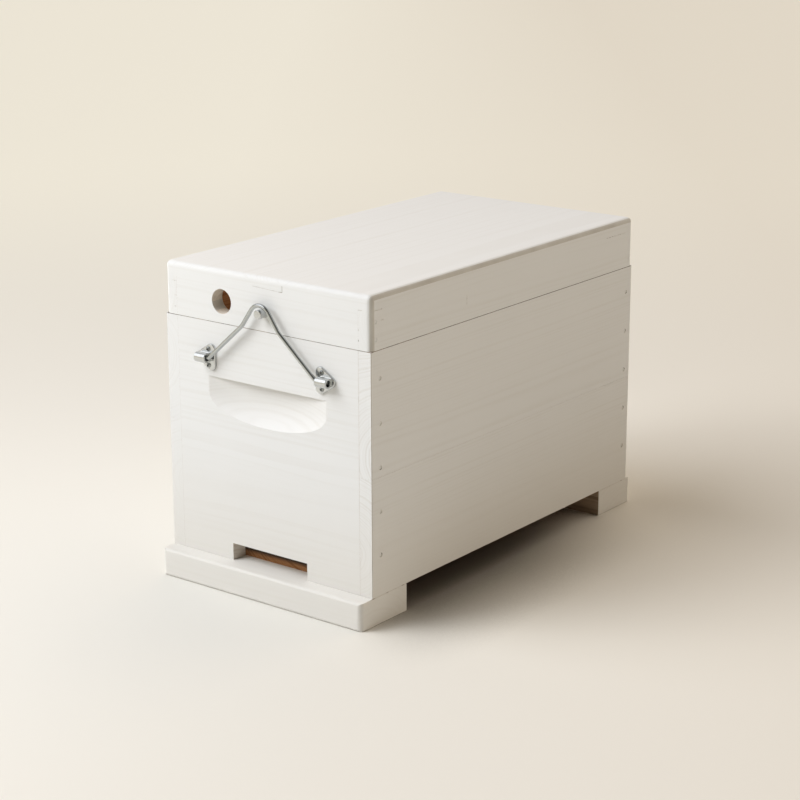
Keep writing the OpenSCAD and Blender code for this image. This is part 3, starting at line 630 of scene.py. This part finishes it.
for seed, (node_name, (along, pith, inner, rounds)) in enumerate(LID_PIECES.items(), start=21):
    lo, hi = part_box(node_name)
    is_plank = "plank" in node_name
    figure = {"along": along, "pith_mm": pith, "ring_mm": 2.8, "wander_mm": 10.0, "seed": float(seed)}
    paint = painted_softwood("brushed_paint_on_" + node_name, **figure)
    bare = bare_x if along == "x" else bare_y
    if node_name == "lid_front_rail":
        lid_face_paint = paint
    # The planks' ends are filled and brushed together with the rail below them
    if is_plank:
        end_paint = lid_face_paint
    else:
        end_paint = painted_softwood("paint_sunk_in_end_grain_of_" + node_name, **figure)
    lid_part = board(node_name + "_painted", lo, hi, rounds, CLOSED if is_plank else LID_RAIL_EASE,
                     [paint, bare, joint_dirt_and_shade, end_paint, lid_edge_shade])
    if node_name == "lid_front_rail":
        vent = Vector((VENT_X * MM, (FRONT + LID_RAIL_MID) * MM, (LID_Z + VENT_RISE) * MM))
        carve(lid_part, pegs("vent_cutter", [vent], "y", VENT_R * MM, VENT_REACH * MM, bore_wood, 96))
    if along == "y" and not is_plank:
        face = hi.x if "right" in node_name else lo.x
        heads = [Vector((face, y * MM, z * MM)) for y in LID_NAIL_COLUMNS for z in LID_NAIL_ROWS]
        carve(lid_part, pegs("nail_cups", heads, "x", LID_CUP_R * MM, LID_CUP_DEPTH * MM, paint))
    # Painted shade on the rounds of the lid's right edges, on the side away from the window
    for polygon in lid_part.data.polygons:
        if polygon.normal.x > 0.6 and (polygon.normal.y < -0.1 or polygon.normal.z > 0.1):
            polygon.material_index = slot_of(lid_part, lid_edge_shade)
    nicks(lid_part, crack_dirt_and_cup_shade, *LID_CRACKS.get(node_name, []))
    if node_name == "lid_left_plank":
        nicks(lid_part, lap_dirt, *LID_LAP)
    coat_faces(lid_part, bare, inner, least=INWARD)
    coat_faces(lid_part, bare, "-z")
    if along == "y":
        coat_faces(lid_part, end_paint, "-y", "+y")
        dirty_seam(lid_part, joint_dirt_and_shade, "z", LID_Z, "-x", "+x", "-y", "+y")
    else:
        dirty_seam(lid_part, joint_dirt_and_shade, "z", LID_Z, "-y", "+y")
    finish_piece(lid_part, "lid", node_name)


# Nails: radius and depth along the profile of a head, in mm

NAIL_PROFILE = [(0.0, 0.0), (1.3, 0.05), (1.75, 0.2), (1.9, 0.5), (1.9, 1.2)]
nail_paint = painted_softwood("paint_over_nail_heads", "y", (0, 0, 0), ring_mm=2.0, wander_mm=4.0, seed=30.0)


def nail_heads(name, columns, rows, body, node_name, sink_mm):
    """Heads of nails under the paint, a little below the wood on both sides."""
    bm = bmesh.new()
    for side in (-1, 1):
        for y in columns:
            for z in rows:
                points = [(side * (HALF_WIDTH - sink_mm - down) * MM, y * MM, (z + r) * MM)
                          for r, down in NAIL_PROFILE]
                turn_profile(bm, points, (0, y * MM, z * MM), (1, 0, 0), 20)
    close_up(bm)
    finish_piece(make_object(name, bm, nail_paint), body, node_name, angle=60)


nail_heads("side_nail_heads", NAIL_COLUMNS, NAIL_ROWS, "box", "side_nails", 0.25)
nail_heads("lid_nail_heads", LID_NAIL_COLUMNS, LID_NAIL_ROWS, "lid", "lid_nails", 0.2)


# Clip gear, drawn on the front and mirrored for the rear, in mm

BARREL_IN, BARREL_L, BARREL_R, BORE_R = 70.38, 13.5, 5.0, 3.2
BARREL_Z, CLIP_OUT, PLATE_T, WIRE_R = 237.7, 7.0, 2.4, 2.1
PLATE_CORNERS = [(69.88, 8.0), (69.88, -8.0), (82.38, 0.0)]
CORNER_R = 5.5
RIM_ROUND, BARREL_ROUND, FILLET_R = 0.9, 0.45, 1.2
# The barrel's root starts inside the plate
ROOT_OUT = 1.0
SCREW_X, SCREW_RISE, SCREW_H = 72.38, 8.3, 1.9
# Radius and height along the profile of a screw's dome
SCREW_PROFILE = [(0.0, SCREW_H), (0.8, 1.8), (1.6, 1.42), (2.25, 0.8), (2.6, 0.15), (2.6, -0.6), (0.0, -0.6)]
# Arm of a cross recess, and how far each screw of a pair of brackets was driven, in degrees
RECESS_ARM = (3.2, 2.2, 0.9)
SCREW_TURNS = (20, 65, 38, 81)
STUD_RISE, STUD_L, STUD_R, STUD_RIM = 19, 11.0, 4.6, 0.9
# The stud's face stops just short of its round rim, and its foot spreads on the wood
STUD_FACE_R, STUD_FOOT_R, STUD_FOOT_H = 3.6, 4.85, 0.5


def on_wall(wall, x, out, z):
    """Point at a distance out from the front or rear wall."""
    return Vector((x * MM, (WALL_Y[wall] + OUTWARD[wall] * out) * MM, z * MM))


def bracket(wall, hand):
    """Cast bracket: three-cornered plate with a round rim, and a barrel that flows into it."""
    side = 1 if hand == "right" else -1
    plate = bmesh.new()
    turn = Matrix.Rotation(math.pi / 2, 4, "X")
    for x, dz in PLATE_CORNERS:
        for up in (0, PLATE_T):
            corner = Matrix.Translation(on_wall(wall, side * x, up, BARREL_Z + dz))
            bmesh.ops.create_circle(plate, cap_ends=False, segments=40, radius=CORNER_R * MM,
                                    matrix=corner @ turn)
    hull = bmesh.ops.convex_hull(plate, input=plate.verts[:])
    bmesh.ops.delete(plate, geom=verts_in(hull["geom_interior"]), context="VERTS")
    bmesh.ops.dissolve_limit(plate, angle_limit=math.radians(1), verts=plate.verts, edges=plate.edges)
    front_y = on_wall(wall, 0, PLATE_T, 0).y
    rim = [e for e in plate.edges if all(abs(v.co.y - front_y) < SAME_PLANE for v in e.verts)]
    bmesh.ops.bevel(plate, geom=rim, offset=RIM_ROUND * MM, offset_type="OFFSET", segments=4, profile=0.5,
                    affect="EDGES", material=-1)
    bmesh.ops.recalc_face_normals(plate, faces=plate.faces)
    made = make_object(f"{wall}_{hand}_bracket_cast", plate, zinc)

    barrel = bmesh.new()
    skirt_z = math.sqrt((BARREL_R + FILLET_R) ** 2 - (CLIP_OUT - PLATE_T - FILLET_R) ** 2)
    bend = math.atan2(CLIP_OUT - PLATE_T - FILLET_R, -skirt_z)
    start = barrel.verts.new(on_wall(wall, BARREL_IN, ROOT_OUT, BARREL_Z + skirt_z))
    last = barrel.verts.new(on_wall(wall, BARREL_IN, PLATE_T, BARREL_Z + skirt_z))
    barrel.edges.new((start, last))
    fillet_turn = 1.5 * math.pi - bend
    bends = [
        (on_wall(wall, BARREL_IN, PLATE_T + FILLET_R, BARREL_Z + skirt_z), fillet_turn, 8),
        (on_wall(wall, BARREL_IN, CLIP_OUT, BARREL_Z), -(3 * math.pi - 2 * bend), 36),
        (on_wall(wall, BARREL_IN, PLATE_T + FILLET_R, BARREL_Z - skirt_z), fillet_turn, 8),
    ]
    for centre, angle, steps in bends:
        arc = bmesh.ops.spin(barrel, geom=[last], cent=centre, axis=(1, 0, 0), angle=OUTWARD[wall] * angle,
                             steps=steps)
        last = verts_in(arc["geom_last"])[0]
    end = barrel.verts.new(on_wall(wall, BARREL_IN, ROOT_OUT, BARREL_Z - skirt_z))
    barrel.edges.new((last, end))
    barrel.edges.new((end, start))
    profile = bmesh.ops.contextual_create(barrel, geom=barrel.edges[:])["faces"]
    pushed = bmesh.ops.extrude_face_region(barrel, geom=profile)["geom"]
    bmesh.ops.translate(barrel, vec=(BARREL_L * MM, 0, 0), verts=verts_in(pushed))
    ends = [e for e in barrel.edges if abs(e.verts[0].co.x - e.verts[1].co.x) < SAME_PLACE]
    bmesh.ops.bevel(barrel, geom=ends, offset=BARREL_ROUND * MM, offset_type="OFFSET", segments=3, profile=0.5,
                    affect="EDGES", material=-1)
    if side < 0:
        bmesh.ops.scale(barrel, vec=(-1, 1, 1), verts=barrel.verts)
    bmesh.ops.recalc_face_normals(barrel, faces=barrel.faces)
    carve(made, make_object("barrel", barrel, zinc), operation="UNION")
    middle = on_wall(wall, side * (BARREL_IN + BARREL_L / 2), CLIP_OUT, BARREL_Z)
    carve(made, pegs("bore", [middle], "x", BORE_R * MM, BARREL_L * MM, zinc, 40))
    finish_piece(made, "box", f"{wall}_{hand}_bracket", angle=40)


def plate_screws(wall):
    """Domed screws of both brackets, each with a cross recess turned its own way."""
    dome = bmesh.new()
    arms = [bmesh.new(), bmesh.new()]
    out = OUTWARD[wall]
    places = [(side, dz) for side in (-1, 1) for dz in (-SCREW_RISE, SCREW_RISE)]
    for (side, dz), degrees in zip(places, SCREW_TURNS):
        base = on_wall(wall, side * SCREW_X, PLATE_T, BARREL_Z + dz)
        points = [base + Vector((r * MM, out * up * MM, 0)) for r, up in SCREW_PROFILE]
        turn_profile(dome, points, base, (0, 1, 0), 28)
        for arm, quarter in zip(arms, (0, math.pi / 2)):
            turn = Matrix.Rotation(math.radians(degrees) + quarter, 3, "Y")
            bar = bmesh.ops.create_cube(arm, size=1.0)["verts"]
            bmesh.ops.scale(arm, vec=[v * MM for v in RECESS_ARM], verts=bar)
            bmesh.ops.rotate(arm, cent=(0, 0, 0), matrix=turn, verts=bar)
            bmesh.ops.translate(arm, vec=base + Vector((0, out * SCREW_H * MM, 0)), verts=bar)
    close_up(dome)
    heads = make_object(f"{wall}_bracket_screw_heads", dome, screw_zinc)
    for arm in arms:
        carve(heads, make_object("recess", arm, dark_recess))
    finish_piece(heads, "box", f"{wall}_bracket_screws")


def stud(wall):
    """Turned stud with a round rim and a small foot against the wood."""
    bm = bmesh.new()
    base = on_wall(wall, 0, 0, LID_Z + STUD_RISE)
    rim_r, rim_out = STUD_R - STUD_RIM, STUD_L - STUD_RIM
    shape = [(0.0, STUD_L), (STUD_FACE_R, STUD_L)]
    shape += [(rim_r + STUD_RIM * math.sin(a), rim_out + STUD_RIM * math.cos(a))
              for a in map(math.radians, range(15, 91, 15))]
    shape += [(STUD_R, STUD_FOOT_H), (STUD_FOOT_R, 0.0), (0.0, -OVERRUN)]
    points = [base + Vector((r * MM, OUTWARD[wall] * up * MM, 0)) for r, up in shape]
    turn_profile(bm, points, base, (0, 1, 0), 48)
    close_up(bm)
    finish_piece(make_object(f"{wall}_stud_turned", bm, zinc), "lid", f"{wall}_stud", angle=50)


CLIP_Z, HALF_SPAN, CLIP_H, ARCH_R = 238.5, 67.99, 62.8, 13.0
SHOULDER = (0.335 * HALF_SPAN, 0.635 * CLIP_H)
SHOULDER_R, MOUTH_R, PIN_END = 20.0, 5.0, BARREL_IN + 11.0


def wire_clip(wall):
    """Wire loop bent cold: pin, mouth bend, leg, shoulder, neck and arch, and back down the other side."""
    leg = math.atan2(SHOULDER[1], HALF_SPAN - SHOULDER[0])
    gap_x, gap_z = SHOULDER[0], CLIP_H - ARCH_R - SHOULDER[1]
    neck = math.atan2(gap_z, gap_x) + math.asin(ARCH_R / math.hypot(gap_x, gap_z))
    shoulder_tan = SHOULDER_R * math.tan((neck - leg) / 2)
    mouth_tan = MOUTH_R * math.tan(leg / 2)
    pin_l = PIN_END - HALF_SPAN - mouth_tan
    leg_l = math.hypot(HALF_SPAN - SHOULDER[0], SHOULDER[1]) - mouth_tan - shoulder_tan
    neck_l = math.sqrt(gap_x ** 2 + gap_z ** 2 - ARCH_R ** 2) - shoulder_tan
    # Straight run, or radius, turn and steps of a bend
    half = [(pin_l, 0, 0, 0), (0, MOUTH_R, -leg, 12), (leg_l, 0, 0, 0), (0, SHOULDER_R, leg - neck, 10),
            (neck_l, 0, 0, 0)]
    way = half + [(0, ARCH_R, 2 * neck, 40)] + half[::-1]
    bm = bmesh.new()
    here = on_wall(wall, PIN_END, CLIP_OUT, CLIP_Z)
    bmesh.ops.create_circle(bm, cap_ends=True, segments=24, radius=WIRE_R * MM,
                            matrix=Matrix.Translation(here) @ Matrix.Rotation(math.pi / 2, 4, "Y"))
    rim = bm.edges[:]
    heading = math.pi
    for run, r, sweep, steps in way:
        ahead = Vector((math.cos(heading), 0, math.sin(heading)))
        if run:
            grown = bmesh.ops.extrude_edge_only(bm, edges=rim)["geom"]
            bmesh.ops.translate(bm, vec=ahead * run * MM, verts=verts_in(grown))
            here = here + ahead * run * MM
            rim = [e for e in edges_in(grown)
                   if all(abs((v.co - here).dot(ahead)) < SAME_PLANE for v in e.verts)]
        else:
            left = 1 if sweep > 0 else -1
            centre = here + Vector((-math.sin(heading), 0, math.cos(heading))) * left * r * MM
            grown = bmesh.ops.spin(bm, geom=rim, cent=centre, axis=(0, -1, 0), angle=sweep, steps=steps)
            rim = edges_in(grown["geom_last"])
            heading += sweep
            here = centre - Vector((-math.sin(heading), 0, math.cos(heading))) * left * r * MM
    bmesh.ops.contextual_create(bm, geom=rim)
    close_up(bm)
    wire = make_object(f"{wall}_clip_wire", bm, wire_zinc)
    finish_piece(wire, f"{wall}_clip", f"{wall}_clip", angle=50)


for wall in ("front", "rear"):
    for hand in ("left", "right"):
        bracket(wall, hand)
    plate_screws(wall)
    stud(wall)
    wire_clip(wall)


# Solids that stay as they are

KEPT_SOLIDS = {
    "floor_board": shaded_floor_wood, "front_frame_rest": bare_x, "rear_frame_rest": bare_x,
    "front_runner": galvanised, "rear_runner": galvanised,
    "rail_screws": screw_zinc, "rest_screws": screw_zinc,
}
for node_name, material in KEPT_SOLIDS.items():
    NODES[node_name].data.materials.clear()
    NODES[node_name].data.materials.append(material)


# Floor, in metres

FLOOR_R = 30.0
PAPER_NEAR, PAPER_FAR, PAPER_SHADE = "#e7e6e0", "#fbfaee", "#e0d8c9"
# Distance from the box over which the near tone gives way to the far one
FAR_FROM, FAR_TO = 0.4, 2.5
# Away from the window along the floor, and where painted shade darkens the paper that way
AWAY_FROM_WINDOW = (0.79, 0.61, 0.0)
PAINTED_SHADE_FROM, PAINTED_SHADE_UNTIL, PAINTED_SHADE_SHARE = -0.35, 0.65, 0.5
# Painted contact shade close to the box: its colour, its middle, its reach, and how it fades
PAINTED_CONTACT_SHADE = "#615e58"
CONTACT_MIDDLE, CONTACT_REACH, CONTACT_POWER = (0.165, -0.115, 0.0), 0.12, 2.2
CONTACT_FULL, CONTACT_NONE = 0.08, 0.30
CONTACT_SIDE_NONE, CONTACT_SIDE_FULL = -0.06, 0.03


def paper_sweep(name):
    """Matt cream paper: even and soft, with painted shade away from the window, and a painted contact shade
    close to the box on that side, which only the camera sees."""
    material, tree, shader = new_material(name)
    place = add(tree, "ShaderNodeTexCoord").outputs["Object"]
    far = add(tree, "ShaderNodeVectorMath", {0: place}, operation="LENGTH").outputs["Value"]
    far_share = add(tree, "ShaderNodeMapRange", {"Value": far, "From Min": FAR_FROM, "From Max": FAR_TO},
                    interpolation_type="SMOOTHSTEP").outputs[0]
    even = add(tree, "ShaderNodeMix", {"Factor": far_share, 6: paint_pot(PAPER_NEAR), 7: paint_pot(PAPER_FAR)},
               data_type="RGBA").outputs[2]
    right = add(tree, "ShaderNodeVectorMath", {0: place, 1: AWAY_FROM_WINDOW}, operation="DOT_PRODUCT").outputs["Value"]
    painted_shade = add(tree, "ShaderNodeMapRange", {"Value": right, "From Min": PAINTED_SHADE_FROM, "From Max": PAINTED_SHADE_UNTIL,
                                            "To Min": 0.0, "To Max": PAINTED_SHADE_SHARE}).outputs[0]
    colour = add(tree, "ShaderNodeMix", {"Factor": painted_shade, 6: even, 7: paint_pot(PAPER_SHADE)},
                 data_type="RGBA").outputs[2]
    near = add(tree, "ShaderNodeAmbientOcclusion", {"Color": (1.0, 1.0, 1.0, 1.0), "Distance": CONTACT_REACH},
               samples=8).outputs["AO"]
    gap = add(tree, "ShaderNodeVectorMath", {0: place, 1: CONTACT_MIDDLE},
              operation="DISTANCE").outputs["Value"]
    depth = add(tree, "ShaderNodeMapRange", {"Value": gap, "From Min": CONTACT_FULL, "From Max": CONTACT_NONE,
                                             "To Min": CONTACT_POWER, "To Max": 0.0},
                interpolation_type="SMOOTHSTEP").outputs[0]
    side = add(tree, "ShaderNodeMapRange", {"Value": right, "From Min": CONTACT_SIDE_NONE,
                                            "From Max": CONTACT_SIDE_FULL},
               interpolation_type="SMOOTHSTEP").outputs[0]
    power = add(tree, "ShaderNodeMath", {0: depth, 1: side}, operation="MULTIPLY").outputs[0]
    deep = add(tree, "ShaderNodeMath", {0: near, 1: power}, operation="POWER").outputs[0]
    tone = add(tree, "ShaderNodeMix", {"Factor": deep, 6: paint_pot(PAINTED_CONTACT_SHADE), 7: colour},
               data_type="RGBA").outputs[2]
    seen = add(tree, "ShaderNodeLightPath").outputs["Is Camera Ray"]
    shade = add(tree, "ShaderNodeMix", {"Factor": seen, 6: colour, 7: tone}, data_type="RGBA").outputs[2]
    tree.links.new(shade, shader.inputs["Base Color"])
    shader.inputs["Roughness"].default_value = 0.9
    shader.inputs["Specular IOR Level"].default_value = 0.1
    return material


floor_bm = bmesh.new()
bmesh.ops.create_circle(floor_bm, cap_ends=True, segments=64, radius=FLOOR_R)
floor = make_object("studio_floor", floor_bm, paper_sweep("matt_cream_paper_sweep"))


# Light: a window in front on the left, and pale walls

# Levels of the walls behind and to the right and where these stand, and the level on the other sides
RIGHT_WALL, WALL_TO = 0.70, (0.36, 0.85, 0.39)
BACK_WALL, BACK_TO = 0.74, (-0.1, 0.9, 0.42)
DIM_SIDES = 0.055
FILL_COLOUR = (1.0, 0.865, 0.72, 1.0)
ROOM_BRIGHT_SIDE, ROOM_DULL_SIDE, ROOM_CEILING = "#efe6d3", "#e3d8c5", "#5e5d5a"
KEY_FROM = Vector((-0.53, -0.515, 0.675)).normalized()
KEY_LEVEL, KEY_SPREAD, KEY_COLOUR = 2.16, 56, (0.98, 0.99, 1.035)
# The window as the metal mirrors it
PANE = (1.75, 1.76, 1.8, 1.0)
NEAR_FROM, NEAR_TO = Vector((-0.6, -0.95, 1.0)), Vector((0.0, -0.2, 0.2))
NEAR_WATTS, NEAR_SIZE = 6.15, 0.6
GLOW_AT, GLOW_WATTS, GLOW_R, GLOW_COLOUR = (-0.07, -0.145, 0.298), 0.03, 0.008, (1.0, 0.86, 0.7)

world = bpy.data.worlds.new("studio")
bpy.context.scene.world = world
world.use_nodes = True
sky = world.node_tree
sky.nodes.clear()
path = add(sky, "ShaderNodeLightPath").outputs
seen = add(sky, "ShaderNodeMath", {0: path["Is Camera Ray"], 1: path["Is Glossy Ray"]}, operation="MAXIMUM")
seen = add(sky, "ShaderNodeMath", {0: seen.outputs[0], 1: path["Is Transmission Ray"]}, operation="MAXIMUM")
# Warm fill: pale walls behind and to the right, dim on the other sides
gaze = add(sky, "ShaderNodeTexCoord").outputs["Generated"]
upward = add(sky, "ShaderNodeSeparateXYZ", {0: gaze}).outputs["Z"]
wallward = add(sky, "ShaderNodeVectorMath", {0: gaze, 1: WALL_TO}, operation="DOT_PRODUCT").outputs["Value"]
rightward = add(sky, "ShaderNodeMapRange", {"Value": wallward, "From Min": 0.15, "From Max": 0.95,
                                            "To Min": DIM_SIDES, "To Max": RIGHT_WALL},
                interpolation_type="SMOOTHSTEP").outputs[0]
backward = add(sky, "ShaderNodeVectorMath", {0: gaze, 1: BACK_TO}, operation="DOT_PRODUCT").outputs["Value"]
behind = add(sky, "ShaderNodeMapRange", {"Value": backward, "From Min": 0.5, "From Max": 0.95,
                                         "To Min": 0.0, "To Max": BACK_WALL},
             interpolation_type="SMOOTHSTEP").outputs[0]
level = add(sky, "ShaderNodeMath", {0: behind, 1: rightward}, operation="ADD").outputs[0]
ambient = add(sky, "ShaderNodeBackground", {"Color": FILL_COLOUR, "Strength": level})
# Pale round the sides, with a dim ceiling that gives the metal its dark stripes
ceiling = add(sky, "ShaderNodeMapRange", {"Value": upward, "From Min": 0.1, "From Max": 0.6},
              interpolation_type="SMOOTHSTEP").outputs[0]
far_side = add(sky, "ShaderNodeVectorMath", {0: gaze, 1: AWAY_FROM_WINDOW}, operation="DOT_PRODUCT").outputs["Value"]
far_dull = add(sky, "ShaderNodeMapRange", {"Value": far_side, "From Min": -0.4, "From Max": 0.6}).outputs[0]
horizon = add(sky, "ShaderNodeMix", {"Factor": far_dull, 6: paint_pot(ROOM_BRIGHT_SIDE),
                                     7: paint_pot(ROOM_DULL_SIDE)}, data_type="RGBA").outputs[2]
room = add(sky, "ShaderNodeMix", {"Factor": ceiling, 6: horizon, 7: paint_pot(ROOM_CEILING)},
           data_type="RGBA").outputs[2]
# The mirrored window is soft at its edge; the lamps themselves make no highlights
windowward = add(sky, "ShaderNodeVectorMath", {0: gaze, 1: KEY_FROM}, operation="DOT_PRODUCT").outputs["Value"]
pane = add(sky, "ShaderNodeMapRange", {"Value": windowward, "From Min": 0.84, "From Max": 0.93},
           interpolation_type="SMOOTHSTEP").outputs[0]
mirrored = add(sky, "ShaderNodeMath", {0: pane, 1: path["Is Glossy Ray"]}, operation="MULTIPLY").outputs[0]
bright_room = add(sky, "ShaderNodeMix", {"Factor": mirrored, 6: room, 7: PANE}, data_type="RGBA").outputs[2]
backdrop = add(sky, "ShaderNodeBackground", {"Color": bright_room, "Strength": 1.0})
both = add(sky, "ShaderNodeMixShader", {0: seen.outputs[0], 1: ambient.outputs[0], 2: backdrop.outputs[0]})
add(sky, "ShaderNodeOutputWorld", {"Surface": both.outputs[0]})


def put_up(name, held):
    """Object in the scene that holds a lamp or the camera."""
    made = bpy.data.objects.new(name, held)
    bpy.context.scene.collection.objects.link(made)
    return made


key = bpy.data.lights.new("window_key", "SUN")
key.energy = KEY_LEVEL
key.angle = math.radians(KEY_SPREAD)
key.color = KEY_COLOUR
key_object = put_up("window_key", key)
key_object.visible_glossy = False
key_object.rotation_euler = (-KEY_FROM).to_track_quat("-Z", "Y").to_euler()

# The near part of the window: its light falls off over the box, from the front to the rear
near = bpy.data.lights.new("near_window", "AREA")
near.energy = NEAR_WATTS
near.size = NEAR_SIZE
near_object = put_up("near_window", near)
near_object.location = NEAR_FROM
near_object.rotation_euler = (NEAR_TO - NEAR_FROM).to_track_quat("-Z", "Y").to_euler()
near_object.visible_camera = False
near_object.visible_glossy = False

# A little light behind the vent hole, which shows the bare wood inside the lid
glow = bpy.data.lights.new("inside_fill", "POINT")
glow.energy = GLOW_WATTS
glow.shadow_soft_size = GLOW_R
glow.color = GLOW_COLOUR
put_up("inside_fill", glow).location = GLOW_AT


# Camera: place in metres, and turn, drop and roll in degrees

CAMERA_AT = (1.3070, -1.7123, 0.7844)
CAMERA_TURN, CAMERA_DROP, CAMERA_ROLL = 37.58, 16.35, -0.18
LENS, SENSOR = 95.2, 36.0
camera = bpy.data.cameras.new("photo_camera")
camera.lens = LENS
camera.sensor_width = SENSOR
camera.sensor_fit = "HORIZONTAL"
camera_object = put_up("photo_camera", camera)
camera_object.location = CAMERA_AT
turned = Matrix.Rotation(math.radians(CAMERA_TURN), 4, "Z")
dropped = Matrix.Rotation(math.radians(90 - CAMERA_DROP), 4, "X")
rolled = Matrix.Rotation(math.radians(CAMERA_ROLL), 4, "Z")
camera_object.rotation_euler = (turned @ dropped @ rolled).to_euler()
bpy.context.scene.camera = camera_object
bpy.context.scene.view_settings.view_transform = "Standard"
